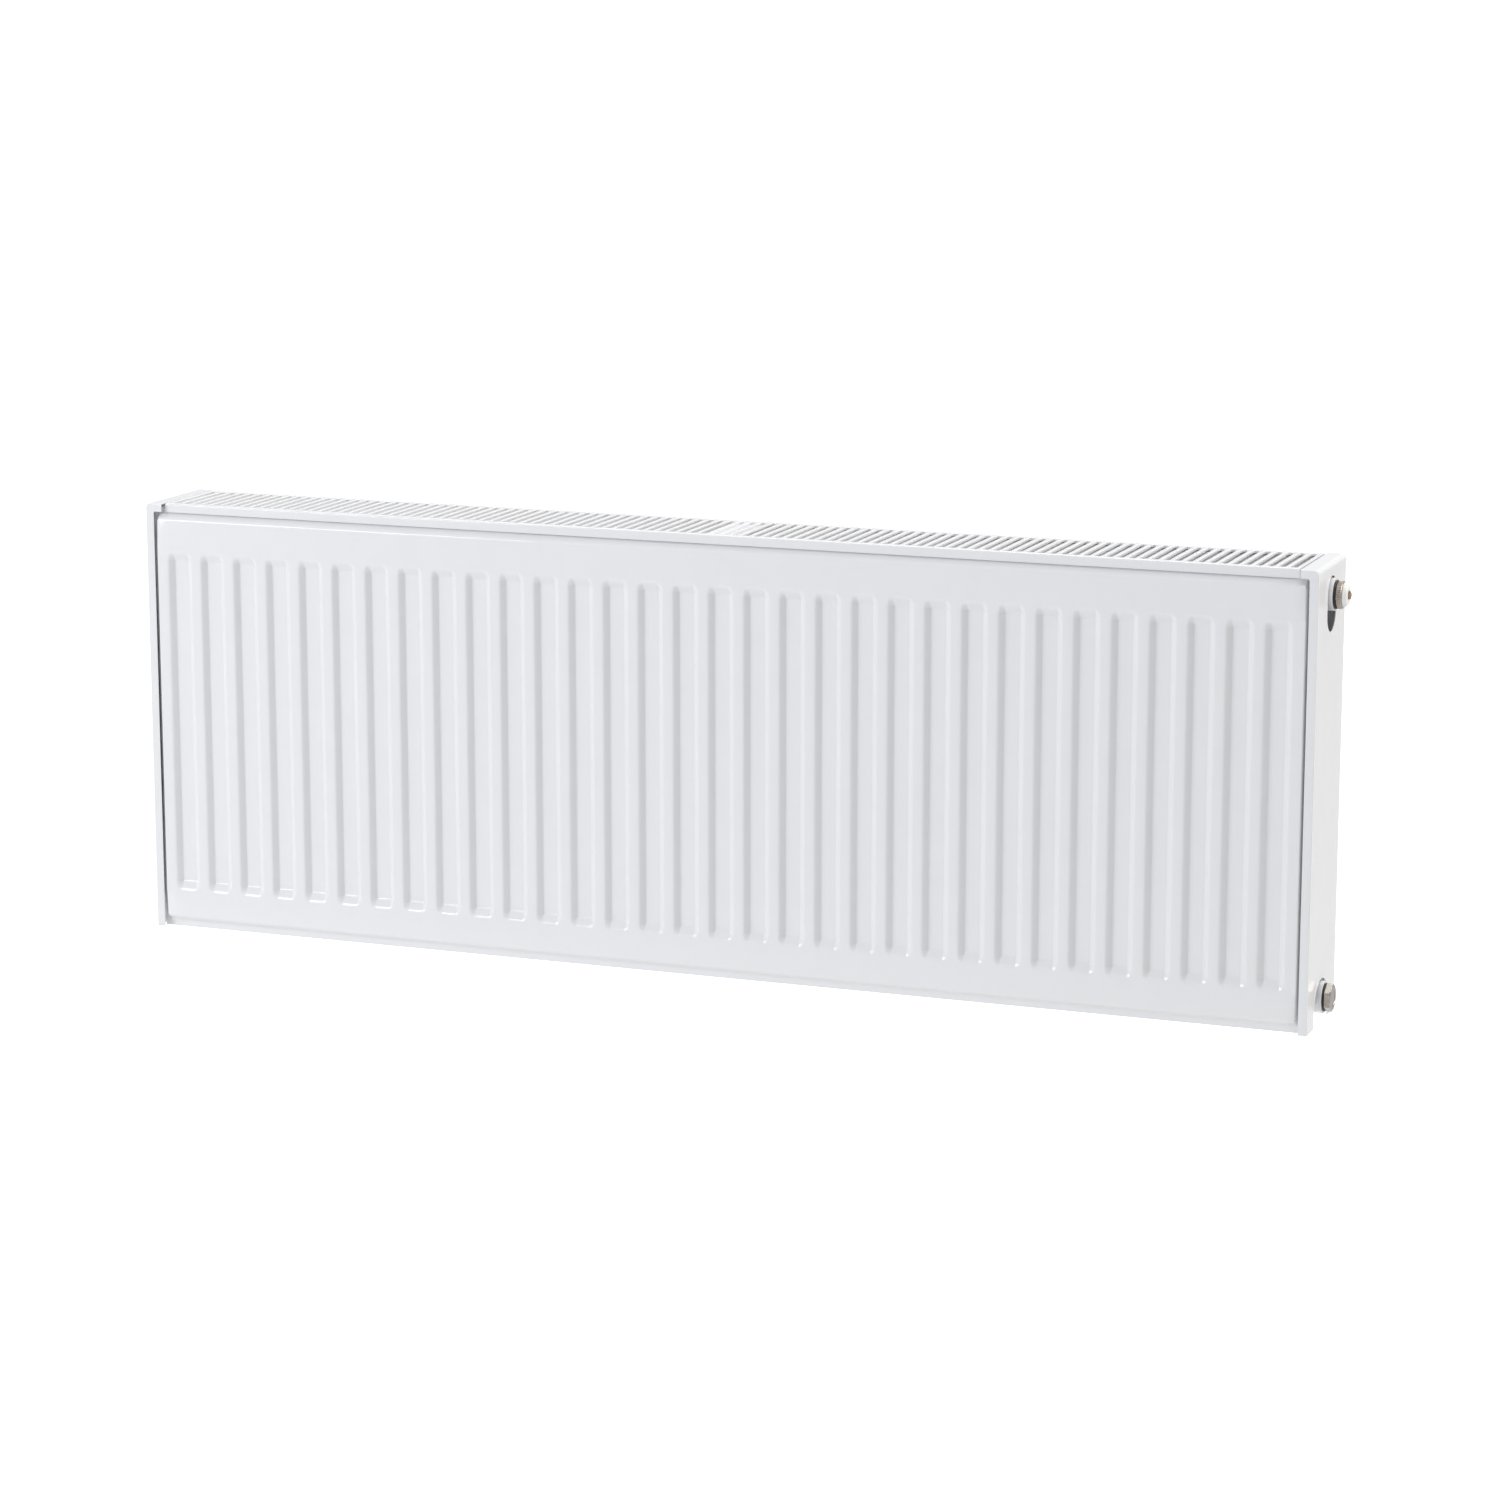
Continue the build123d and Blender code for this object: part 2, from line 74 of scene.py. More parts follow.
# Water panels
PANEL_SHEET = 1.2
PANEL_SETBACK = 0.6
PAD_RUN = 5.2
PAD_END_RUN = 2.5
OUTER_RISE = 7.0
INNER_RISE = 6.0
SEAM_HALF = HALF - 5.5
PAD_HALF = SEAM_HALF - 2.5
SEAM_TOP = HEIGHT - 3.7
PAD_LOW = 5.5
PAD_HIGH = HEIGHT - 8.5
RECESS_COUNT = 32
RECESS_PITCH = 100.0 / 3.0
RECESS_HALF = 11.7
RECESS_RUN = 4.7
RECESS_END_RUN = 7.7
RECESS_LOW = 37.0
RECESS_HIGH = HEIGHT - 45.0
OUTER_RECESS = 5.0
INNER_RECESS = 8.0
RECESS_PLACES = [RECESS_PITCH * (i - (RECESS_COUNT - 1) / 2) for i in range(RECESS_COUNT)]
SEAM_Y = PANEL_SETBACK + OUTER_RISE + PANEL_SHEET
# Roundings, as shares of the slope that they belong to
FACE_BEND = 0.30                # the bend at the slope's top
DEEP_BEND = 0.14                # the bend at its foot
RECESS_CORNER = 1.1             # a recess's corners
PAD_CORNER = 2.2                # the raised face's corners

# Grille
GRILLE_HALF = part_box("top_grille")[1][0] / MM
GRILLE_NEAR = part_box("top_grille")[0][1] / MM - FRONT_Y
GRILLE_SHEET = 1.0
LIP = 8.3                       # 0.8 deeper than the CAD's, which left a dark line under it
LIP_EDGE = 0.25                 # rounding of the lip's lower edges
FOLD_R = 1.6
FOLD_START = GRILLE_NEAR + FOLD_R
SLOT_COUNT = 106
SLOT_PITCH = 10.0
SLOT_R = 3.1
SLOT_MARGIN = 11.0
ROLL_R = 0.75
RIM_SHEET = 0.8
RIM_LOW = HEIGHT - 2.5
RIM_EDGE = 0.2                  # bevel of the rim's lower edges
# Angles of the points round half a slot's end, one of them at the corner of the slot's cell
CELL_CORNER = math.atan2(SLOT_MARGIN + SLOT_R - FOLD_START, SLOT_PITCH / 2)
QUARTER = [0.0, 0.27, 0.54, 0.8, CELL_CORNER, 1.22, 1.40, math.pi / 2]
SLOT_ANGLES = QUARTER + [math.pi - a for a in QUARTER[-2::-1]]

# Convectors
FIN_SHEET = 0.5
FIN_DEPTH = 28.0
FIN_BEND_R = 2.2
CONVECTOR_LOW = 50.0
CONVECTOR_HIGH = HEIGHT - 55.0
INNER_FACE_Y = SEAM_Y + PANEL_SHEET + INNER_RISE

# Connections
BOSS_END = HALF + 3.0
SEAL_END = BOSS_END + 2.0
UPPER_Z = HEIGHT - 27.5
LOWER_Z = 22.5

# Screwed shanks of the vent and the plug: places along X from SEAL_END, and radii
SHANK_TIP = -13.9
SHANK_R = 9.15
NECK_R = 9.2

NOISE_LOW, NOISE_HIGH = 0.3, 0.7   # where most of a noise texture's values lie
COAT_IOR = 1.5
TURNING_SCALE = 2600.0             # fineness of the lines that turning leaves
BEVEL_ANGLE = math.radians(35.0)   # edges sharper than this are rounded
WELD = 1e-7                        # metres
SAME = 1e-4                        # millimetres


def to_row(points):
    """Millimetres on the radiator's axes to metres in the row frame."""
    return (np.asarray(points, float) + (0.0, FRONT_Y, BOTTOM_Z)) * MM


# ---------------------------------------------------------------- materials

def new_material(name, base, metallic, roughness):
    mat = bpy.data.materials.new(name)
    mat.use_nodes = True
    shader = mat.node_tree.nodes["Principled BSDF"]
    shader.inputs["Base Color"].default_value = (*base, 1.0)
    shader.inputs["Metallic"].default_value = metallic
    shader.inputs["Roughness"].default_value = roughness
    shader.inputs["IOR"].default_value = COAT_IOR
    mat.diffuse_color = (*base, 1.0)
    return mat, mat.node_tree.nodes, mat.node_tree.links, shader


def noise(nodes, links, vector, scale, detail=2.0, roughness=0.5):
    tex = nodes.new("ShaderNodeTexNoise")
    tex.inputs["Scale"].default_value = scale
    tex.inputs["Detail"].default_value = detail
    tex.inputs["Roughness"].default_value = roughness
    links.new(vector, tex.inputs["Vector"])
    return tex.outputs["Fac"]


def mapped(nodes, links, value, low, high):
    ramp = nodes.new("ShaderNodeMapRange")
    ramp.inputs["From Min"].default_value = NOISE_LOW
    ramp.inputs["From Max"].default_value = NOISE_HIGH
    ramp.inputs["To Min"].default_value = low
    ramp.inputs["To Max"].default_value = high
    links.new(value, ramp.inputs["Value"])
    return ramp.outputs["Result"]


def tinted(nodes, links, value, low, high):
    mix = nodes.new("ShaderNodeMix")
    mix.data_type = "RGBA"
    mix.inputs["A"].default_value = (*low, 1.0)
    mix.inputs["B"].default_value = (*high, 1.0)
    links.new(value, mix.inputs["Factor"])
    return mix.outputs["Result"]


def bump(nodes, links, height, strength, distance, under=None):
    node = nodes.new("ShaderNodeBump")
    node.inputs["Strength"].default_value = strength
    node.inputs["Distance"].default_value = distance
    links.new(height, node.inputs["Height"])
    if under is not None:
        links.new(under, node.inputs["Normal"])
    return node.outputs["Normal"]


def enamel(name, low, high, rough_low, rough_high):
    """Baked white enamel: gloss with a faint orange peel and slow waves from the sheet."""
    mat, nodes, links, shader = new_material(name, high, 0.0, (rough_low + rough_high) / 2)
    vector = nodes.new("ShaderNodeTexCoord").outputs["Object"]
    slow = noise(nodes, links, vector, 7.0, detail=1.0)
    peel = noise(nodes, links, vector, 900.0, detail=2.0)
    patch = noise(nodes, links, vector, 42.0, detail=3.0)
    links.new(tinted(nodes, links, patch, low, high), shader.inputs["Base Color"])
    links.new(mapped(nodes, links, patch, rough_low, rough_high), shader.inputs["Roughness"])
    waves = bump(nodes, links, slow, 0.12, 0.0012)
    links.new(bump(nodes, links, peel, 0.10, 0.00012, under=waves), shader.inputs["Normal"])
    return mat


def turned_metal(name, low, high, rough_low, rough_high, axis_z):
    """Machined metal: fine turning lines round an axis along X, and stains."""
    mat, nodes, links, shader = new_material(name, high, 1.0, (rough_low + rough_high) / 2)
    coord = nodes.new("ShaderNodeTexCoord")
    shift = nodes.new("ShaderNodeVectorMath")
    shift.operation = "SUBTRACT"
    shift.inputs[1].default_value = to_row((0.0, MID_Y, axis_z))
    links.new(coord.outputs["Object"], shift.inputs[0])
    parts = nodes.new("ShaderNodeSeparateXYZ")
    links.new(shift.outputs["Vector"], parts.inputs["Vector"])
    flat = nodes.new("ShaderNodeCombineXYZ")
    links.new(parts.outputs["Y"], flat.inputs["Y"])
    links.new(parts.outputs["Z"], flat.inputs["Z"])
    radius = nodes.new("ShaderNodeVectorMath")
    radius.operation = "LENGTH"
    links.new(flat.outputs["Vector"], radius.inputs[0])
    lines = nodes.new("ShaderNodeCombineXYZ")
    links.new(parts.outputs["X"], lines.inputs["X"])
    links.new(radius.outputs["Value"], lines.inputs["Y"])
    turning = noise(nodes, links, lines.outputs["Vector"], TURNING_SCALE, detail=3.0)
    stain = noise(nodes, links, shift.outputs["Vector"], 330.0, detail=4.0, roughness=0.6)
    links.new(tinted(nodes, links, stain, low, high), shader.inputs["Base Color"])
    links.new(mapped(nodes, links, stain, rough_low, rough_high), shader.inputs["Roughness"])
    links.new(bump(nodes, links, turning, 0.25, 0.00004), shader.inputs["Normal"])
    return mat


def grained(name, low, high, rough_low, rough_high, scale, depth):
    """Rubber or moulded plastic: even colour, a fine grain and slightly uneven sheen."""
    mat, nodes, links, shader = new_material(name, high, 0.0, (rough_low + rough_high) / 2)
    vector = nodes.new("ShaderNodeTexCoord").outputs["Object"]
    grain = noise(nodes, links, vector, scale, detail=2.0)
    cloud = noise(nodes, links, vector, scale / 9.0, detail=2.0)
    links.new(tinted(nodes, links, cloud, low, high), shader.inputs["Base Color"])
    links.new(mapped(nodes, links, cloud, rough_low, rough_high), shader.inputs["Roughness"])
    links.new(bump(nodes, links, grain, 0.3, depth), shader.inputs["Normal"])
    return mat


WHITE = enamel("enamel_white", (0.800, 0.808, 0.825), (0.825, 0.832, 0.848), 0.08, 0.13)
WHITE_INNER = enamel("enamel_inner", (0.760, 0.765, 0.775), (0.800, 0.805, 0.815), 0.26, 0.38)
NICKEL_VENT = turned_metal("nickel_vent", (0.28, 0.24, 0.21), (0.60, 0.55, 0.50),
                           0.22, 0.40, UPPER_Z)
NICKEL_PLUG = turned_metal("nickel_plug", (0.24, 0.22, 0.18), (0.62, 0.59, 0.55),
                           0.10, 0.22, LOWER_Z)
BRASS = turned_metal("brass_dull", (0.26, 0.18, 0.12), (0.42, 0.31, 0.22), 0.30, 0.46, UPPER_Z)
RUBBER = grained("seal_rubber_black", (0.012, 0.012, 0.013), (0.030, 0.029, 0.028),
                 0.42, 0.62, scale=2400.0, depth=0.00006)
PLASTIC = grained("plastic_white", (0.82, 0.82, 0.81), (0.86, 0.86, 0.85),
                  0.26, 0.36, scale=3200.0, depth=0.00002)
plastic_shader = PLASTIC.node_tree.nodes["Principled BSDF"]
plastic_shader.inputs["Subsurface Weight"].default_value = 0.08
plastic_shader.inputs["Subsurface Radius"].default_value = (0.002, 0.002, 0.002)


# ---------------------------------------------------------------- mesh helpers

def add_piece(name, verts, faces, material, body, nodes, sharp=38.0, weld=WELD):
    """A closed mesh piece in the row frame, shaded smooth with sharp folds kept."""
    mesh = bpy.data.meshes.new(name)
    mesh.from_pydata([tuple(v) for v in to_row(verts)], [], [tuple(f) for f in faces])
    work = bmesh.new()
    work.from_mesh(mesh)
    bmesh.ops.remove_doubles(work, verts=work.verts, dist=weld)
    bmesh.ops.recalc_face_normals(work, faces=work.faces)
    work.to_mesh(mesh)
    work.free()
    finish_piece(name, mesh, material, body, nodes, sharp)


def finish_piece(name, mesh, material, body, nodes, sharp):
    mesh.shade_smooth()
    mesh.set_sharp_from_angle(angle=math.radians(sharp))
    mesh.materials.clear()
    mesh.materials.append(material)
    piece = bpy.data.objects.new(name, mesh)
    bpy.context.scene.collection.objects.link(piece)
    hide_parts(*nodes)
    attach(piece, body)
    return piece


def body_of_node(node):
    parent = frame["nodes"][node].parent
    return parent.name[len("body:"):]


def dress(node, material, edge, segments=2):
    """The CAD shape with its sheared or pressed edges rounded."""
    source = frame["nodes"][node].data
    mesh = source.copy()
    mesh.name = node + "_skin"
    work = bmesh.new()
    work.from_mesh(source)
    bmesh.ops.remove_doubles(work, verts=work.verts, dist=1e-6)
    bmesh.ops.dissolve_limit(work, angle_limit=math.radians(0.4),
                             verts=work.verts, edges=work.edges)
    sharp = [e for e in work.edges if e.is_manifold and e.calc_face_angle(0.0) > BEVEL_ANGLE]
    bmesh.ops.bevel(work, geom=sharp, offset=edge * MM, segments=segments, profile=0.5,
                    affect="EDGES", clamp_overlap=False)
    bmesh.ops.remove_doubles(work, verts=work.verts, dist=1e-6)
    bmesh.ops.triangulate(work, faces=[f for f in work.faces if len(f.verts) > 4])
    work.to_mesh(mesh)
    work.free()
    if "custom_normal" in mesh.attributes:
        mesh.attributes.remove(mesh.attributes["custom_normal"])
    piece = finish_piece(node + "_skin", mesh, material, body_of_node(node), (node,),
                         sharp=50.0)
    weighted = piece.modifiers.new("weighted", "WEIGHTED_NORMAL")
    weighted.keep_sharp = True


def grid_faces(rows, columns, start=0, flip=False):
    faces = []
    for i in range(rows - 1):
        for j in range(columns - 1):
            a = start + i * columns + j
            quad = (a, a + 1, a + columns + 1, a + columns)
            faces.append(quad[::-1] if flip else quad)
    return faces


def ring_faces(rings, sides):
    """Quads between rings of points that follow each other."""
    faces = []
    for k in range(rings - 1):
        for j in range(sides):
            a, b = k * sides + j, k * sides + (j + 1) % sides
            faces.append((a, b, b + sides, a + sides))
    return faces


def lathe(profile, x0, centre_z, sides, depth=0.0, teeth=0, toothed=()):
    """Rings round an axis along X, from a profile of (x, radius), as vertices and faces.
    The rings whose numbers are in toothed get rounded teeth."""
    verts = []
    for k, (x, r) in enumerate(profile):
        for j in range(sides):
            angle = 2 * math.pi * j / sides
            radius = r
            if k in toothed:
                radius = r - depth * (0.5 - 0.5 * math.cos(teeth * angle)) ** 1.5
            verts.append((x0 + x, MID_Y + radius * math.sin(angle),
                          centre_z + radius * math.cos(angle)))
    return verts, ring_faces(len(profile), sides)


def arc(cx, cr, radius, a0, a1, steps):
    """Points of a profile's rounded corner, from a0 to a1 degrees."""
    angles = [math.radians(a0 + (a1 - a0) * i / steps) for i in range(steps + 1)]
    return [(cx + radius * math.cos(a), cr + radius * math.sin(a)) for a in angles]


# ---------------------------------------------------------------- water panels

def soft_start(t, bend):
    """0 before 0 and t after it, rounded over bend on either side."""
    return np.where(t <= -bend, 0.0, np.where(t >= bend, t, (t + bend) ** 2 / (4 * bend)))


def soft_ramp(t, first, last):
    """0 before 0, 1 after 1, straight between, with both bends rounded."""
    return soft_start(t, first) - soft_start(t - 1.0, last)


def corner_distance(a, b, rounding):
    """Smaller of two slope positions, rounded where they meet."""
    return rounding - np.hypot(np.maximum(rounding - a, 0.0), np.maximum(rounding - b, 0.0))


def raised(x, z, rise, recess):
    """How far the pressed sheet stands out of its seam flange."""
    end = (PAD_HALF - np.abs(x)) / PAD_END_RUN
    side = np.minimum(z - PAD_LOW, PAD_HIGH - z) / PAD_RUN
    height = rise * soft_ramp(corner_distance(end, side, PAD_CORNER), DEEP_BEND, FACE_BEND)
    last = RECESS_COUNT // 2
    nearest = np.clip(np.round(x / RECESS_PITCH - 0.5), -last, last - 1) + 0.5
    across = (RECESS_HALF - np.abs(x - nearest * RECESS_PITCH)) / RECESS_RUN
    along = np.minimum(z - RECESS_LOW, RECESS_HIGH - z) / RECESS_END_RUN
    inside = corner_distance(across, along, RECESS_CORNER)
    return height - recess * soft_ramp(inside, FACE_BEND, DEEP_BEND)


def graded(*spans):
    """Sorted places from spans of (start, end, steps)."""
    found = set()
    for low, high, steps in spans:
        found.update(round(v, 4) for v in np.linspace(low, high, steps + 1))
    return np.array(sorted(found))


def sheet_grid(steps):
    """Places along X and Z, close together where the sheet bends."""
    over, deep = FACE_BEND * RECESS_RUN, DEEP_BEND * RECESS_RUN
    end_over, end_deep = FACE_BEND * RECESS_END_RUN, DEEP_BEND * RECESS_END_RUN
    foot = RECESS_HALF - RECESS_RUN
    outwards, inwards, past = 1.0, 1.2, 1.9    # how far past the raised face's slopes it is fine
    foot_steps, pad_end_steps, pad_side_steps = 4, 8, 9

    x_spans = [(-SEAM_HALF, -PAD_HALF - outwards, 1), (SEAM_HALF, PAD_HALF + outwards, 1)]
    for side in (-1, 1):
        x_spans.append((side * (PAD_HALF + outwards), side * (PAD_HALF - PAD_END_RUN - inwards),
                        pad_end_steps))
    for place in RECESS_PLACES:
        for side in (-1, 1):
            x_spans.append((place + side * (RECESS_HALF + over),
                            place + side * (RECESS_HALF - over), steps))
            x_spans.append((place + side * (foot + deep), place + side * (foot - deep),
                            foot_steps))

    z_spans = [(0.0, PAD_LOW - past, 1), (SEAM_TOP, PAD_HIGH + past, 1),
               (PAD_LOW - past, PAD_LOW + PAD_RUN + past, pad_side_steps),
               (PAD_HIGH + past, PAD_HIGH - PAD_RUN - past, pad_side_steps)]
    for place, turn in ((RECESS_LOW, 1), (RECESS_HIGH, -1)):
        z_spans.append((place - turn * end_over, place + turn * end_over, steps))
        z_spans.append((place + turn * end_over, place + turn * (RECESS_END_RUN - end_deep), 2))
        z_spans.append((place + turn * (RECESS_END_RUN - end_deep),
                        place + turn * (RECESS_END_RUN + end_deep), steps))
    reach = RECESS_END_RUN * RECESS_CORNER
    z_spans.append((RECESS_LOW + reach, RECESS_HIGH - reach, 3))
    return graded(*x_spans), graded(*z_spans)


def pressed_sheet(name, node, rise, recess, outer, wall_side, steps):
    """A pressed sheet: front and back surfaces and the sheared edge between them."""
    x, z = np.meshgrid(*sheet_grid(steps))
    height = raised(x, z, rise, recess)
    direction = -1.0 if outer else 1.0
    joint = SEAM_Y + direction * PANEL_SHEET
    shown = joint + direction * height
    hidden = shown - direction * PANEL_SHEET
    if wall_side:
        shown, hidden = DEPTH - shown, DEPTH - hidden
    rows, columns = x.shape
    front = np.stack([x, shown, z], -1).reshape(-1, 3)
    back = np.stack([x, hidden, z], -1).reshape(-1, 3)
    count = rows * columns
    faces = grid_faces(rows, columns) + grid_faces(rows, columns, count, flip=True)
    border = (list(range(columns)) + [i * columns + columns - 1 for i in range(1, rows)]
              + [(rows - 1) * columns + j for j in range(columns - 2, -1, -1)]
              + [i * columns for i in range(rows - 2, 0, -1)])
    for a, b in zip(border, border[1:] + border[:1]):
        faces.append((b, a, a + count, b + count))
    add_piece(name, np.concatenate([front, back]), faces, WHITE if outer else WHITE_INNER,
              "radiator", (node,))


for side_name, wall_side, steps in (("front", False, 7), ("rear", True, 6)):
    pressed_sheet(f"{side_name}_sheet", f"{side_name}_panel_outer", OUTER_RISE, OUTER_RECESS,
                  outer=True, wall_side=wall_side, steps=steps)
for side_name, wall_side in (("front", False), ("rear", True)):
    pressed_sheet(f"{side_name}_inner_sheet", f"{side_name}_panel_inner", INNER_RISE,
                  INNER_RECESS, outer=False, wall_side=wall_side, steps=4)


# ---------------------------------------------------------------- convectors

def rounded_line(points, radius, steps=4):
    """A polyline whose corners are arcs."""
    found = [points[0]]
    for before, at, after in zip(points, points[1:], points[2:]):
        into = (at - before) / np.linalg.norm(at - before)
        out = (after - at) / np.linalg.norm(after - at)
        turn = math.acos(max(-1.0, min(1.0, float(into @ out))))
        cut = radius * math.tan(turn / 2)
        start = at - into * cut
        normal = np.array([-into[1], into[0]])
        if normal @ out < 0:
            normal = -normal
        centre = start + normal * radius
        for i in range(steps + 1):
            share = turn * i / steps
            found.append(centre - normal * radius * math.cos(share)
                         + into * radius * math.sin(share))
    found.append(points[-1])
    return np.array(found)


def ribbon(line, thickness, low, high):
    """A folded strip: the line in X and Y, its thickness, from low to high in Z."""
    ahead = np.gradient(line, axis=0)
    ahead /= np.linalg.norm(ahead, axis=1)[:, None]
    normal = np.stack([-ahead[:, 1], ahead[:, 0]], 1)
    loop = np.concatenate([line + normal * thickness / 2,
                           (line - normal * thickness / 2)[::-1]])
    count, half = len(loop), len(line)
    verts = [(x, y, low) for x, y in loop] + [(x, y, high) for x, y in loop]
    faces = [(i, (i + 1) % count, (i + 1) % count + count, i + count) for i in range(count)]
    for i in range(half - 1):
        j = count - 1 - i
        faces.append((i, j, j - 1, i + 1))
        faces.append((i + count, i + 1 + count, j - 1 + count, j + count))
    return verts, faces


def convector(name, node, wall_side):
    """The folded fin sheet: bases welded on the channels, tips towards the middle."""
    near, tip = FIN_SHEET / 2, FIN_DEPTH - FIN_SHEET / 2
    line = []
    for before, after in zip(RECESS_PLACES, RECESS_PLACES[1:]):
        left = (before + after) / 2 - RECESS_PITCH / 4 + FIN_SHEET / 2
        right = (before + after) / 2 + RECESS_PITCH / 4 - FIN_SHEET / 2
        line += [(left, tip), (left, near), (right, near), (right, tip)]
    line = rounded_line(np.array(line, float), FIN_BEND_R)
    line[:, 1] += INNER_FACE_Y
    if wall_side:
        line[:, 1] = DEPTH - line[:, 1]
    verts, faces = ribbon(line, FIN_SHEET, CONVECTOR_LOW, CONVECTOR_HIGH)
    add_piece(name, verts, faces, WHITE_INNER, "radiator", (node,))


convector("front_fins", "front_convector", wall_side=False)
convector("rear_fins", "rear_convector", wall_side=True)


# ---------------------------------------------------------------- top grille

def slot_loop(x, grow, z):
    """A slot's outline, grown outwards, as one loop of points."""
    near, far = SLOT_MARGIN + SLOT_R, DEPTH - SLOT_MARGIN - SLOT_R
    radius = SLOT_R + grow
    points = []
    for angle in SLOT_ANGLES:
        points.append((x + radius * math.cos(angle), near - radius * math.sin(angle), z))
    for angle in SLOT_ANGLES:
        points.append((x - radius * math.cos(angle), far + radius * math.sin(angle), z))
    return points


def cell_loop(x, z):
    """The cell's rectangle round a slot, point for point with the slot's outline."""
    near, far = SLOT_MARGIN + SLOT_R, DEPTH - SLOT_MARGIN - SLOT_R
    half, reach = SLOT_PITCH / 2, near - FOLD_START
    points = []
    for base, turn in ((near, 1.0), (far, -1.0)):
        for angle in SLOT_ANGLES:
            c, s = math.cos(angle), math.sin(angle)
            scale = min(half / max(abs(c), 1e-9), reach / max(s, 1e-9))
            points.append((x + turn * scale * c, base - turn * scale * s, z))
    return points


def grille():
    """The slotted tray: rolled slot edges, rims under them, folded front and rear lips."""
    verts, faces = [], []
    top, under, low = HEIGHT, HEIGHT - GRILLE_SHEET, HEIGHT - LIP
    roll = [(ROLL_R * (1 - math.sin(a)), top - ROLL_R * (1 - math.cos(a)))
            for a in np.linspace(0, math.pi / 2, 5)]
    places = [SLOT_PITCH * (i - (SLOT_COUNT - 1) / 2) for i in range(SLOT_COUNT)]
    for x in places:
        loops = [cell_loop(x, top)]
        loops += [slot_loop(x, grow, z) for grow, z in roll]
        loops += [slot_loop(x, 0.0, RIM_LOW + RIM_EDGE), slot_loop(x, RIM_EDGE, RIM_LOW)]
        loops += [slot_loop(x, RIM_SHEET - RIM_EDGE, RIM_LOW),
                  slot_loop(x, RIM_SHEET, RIM_LOW + RIM_EDGE)]
        loops += [slot_loop(x, RIM_SHEET, under), cell_loop(x, under)]
        start = len(verts)
        for loop in loops:
            verts += loop
        faces += [tuple(start + i for i in quad) for quad in ring_faces(len(loops), len(loops[0]))]
    columns = sorted({round(p[0], 6) for x in places for p in cell_loop(x, top)
                      if abs(p[1] - FOLD_START) < SAME} | {-GRILLE_HALF, GRILLE_HALF})
    inner_r = FOLD_R - GRILLE_SHEET
    fold = [(FOLD_START - FOLD_R * math.sin(a), top - FOLD_R + FOLD_R * math.cos(a))
            for a in np.linspace(0, math.pi / 2, 7)]
    inner_fold = [(FOLD_START - inner_r * math.sin(a), under - inner_r + inner_r * math.cos(a))
                  for a in np.linspace(math.pi / 2, 0, 4)]
    near, back = GRILLE_NEAR, GRILLE_NEAR + GRILLE_SHEET
    edge, bulge = LIP_EDGE, LIP_EDGE * 0.3
    lip = [(near, low + edge), (near + bulge, low + bulge), (near + edge, low),
           (back - edge, low), (back - bulge, low + bulge), (back, low + edge)]
    section = fold + lip + inner_fold
    for wall_side in (False, True):
        start, wide = len(verts), len(columns)
        for y, z in section:
            verts += [(x, DEPTH - y if wall_side else y, z) for x in columns]
        faces += grid_faces(len(section), wide, start)
        for side in (0, wide - 1):
            ring = [start + k * wide + side for k in range(len(section))]
            faces.append(tuple(ring))
    sides = sorted({round(p[1], 6) for p in cell_loop(0.0, top)
                    if abs(abs(p[0]) - SLOT_PITCH / 2) < SAME})
    inner_end = places[-1] + SLOT_PITCH / 2
    for side in (-1, 1):
        for z in (top, under):
            start = len(verts)
            verts += [(side * x, y, z) for x in (inner_end, GRILLE_HALF) for y in sides]
            faces += grid_faces(2, len(sides), start)
        start = len(verts)
        verts += [(side * GRILLE_HALF, y, z) for z in (top, under) for y in sides]
        faces += grid_faces(2, len(sides), start)
    add_piece("grille_skin", verts, faces, WHITE, "grille", ("top_grille",),
              weld=2e-6)


grille()


# ---------------------------------------------------------------- side panels, supports, lugs

for end in ("left", "right"):
    dress(f"side_panel_{end}", WHITE, edge=0.22)
    dress(f"side_hooks_{end}", WHITE_INNER, edge=0.3)
    dress(f"hook_bars_{end}", WHITE_INNER, edge=0.3)
    for level in ("top", "bottom"):
        dress(f"connector_{level}_{end}", WHITE, edge=0.4, segments=3)
        dress(f"hanging_lug_{level}_{end}", WHITE, edge=0.5, segments=3)
dress("grille_support", WHITE_INNER, edge=0.3)


# ---------------------------------------------------------------- air vent and plug

def ring_seal(name, node, z):
    """A squeezed O-ring with its parting line."""
    radius, half_x, half_r = 11.2, 0.98, 1.15
    line_height, line_width = 0.03, 6.0        # millimetres and degrees
    profile = []
    for i in range(25):
        a = math.radians(360 * i / 24)
        off_line = (math.degrees(a) % 360 - 90) / line_width
        swell = half_r + line_height * math.exp(-off_line ** 2)
        profile.append((half_x * math.cos(a), radius + swell * math.sin(a)))
    verts, faces = lathe(profile, (BOSS_END + SEAL_END) / 2, z, sides=96)
    add_piece(name, verts, faces, RUBBER, "radiator", (node,))


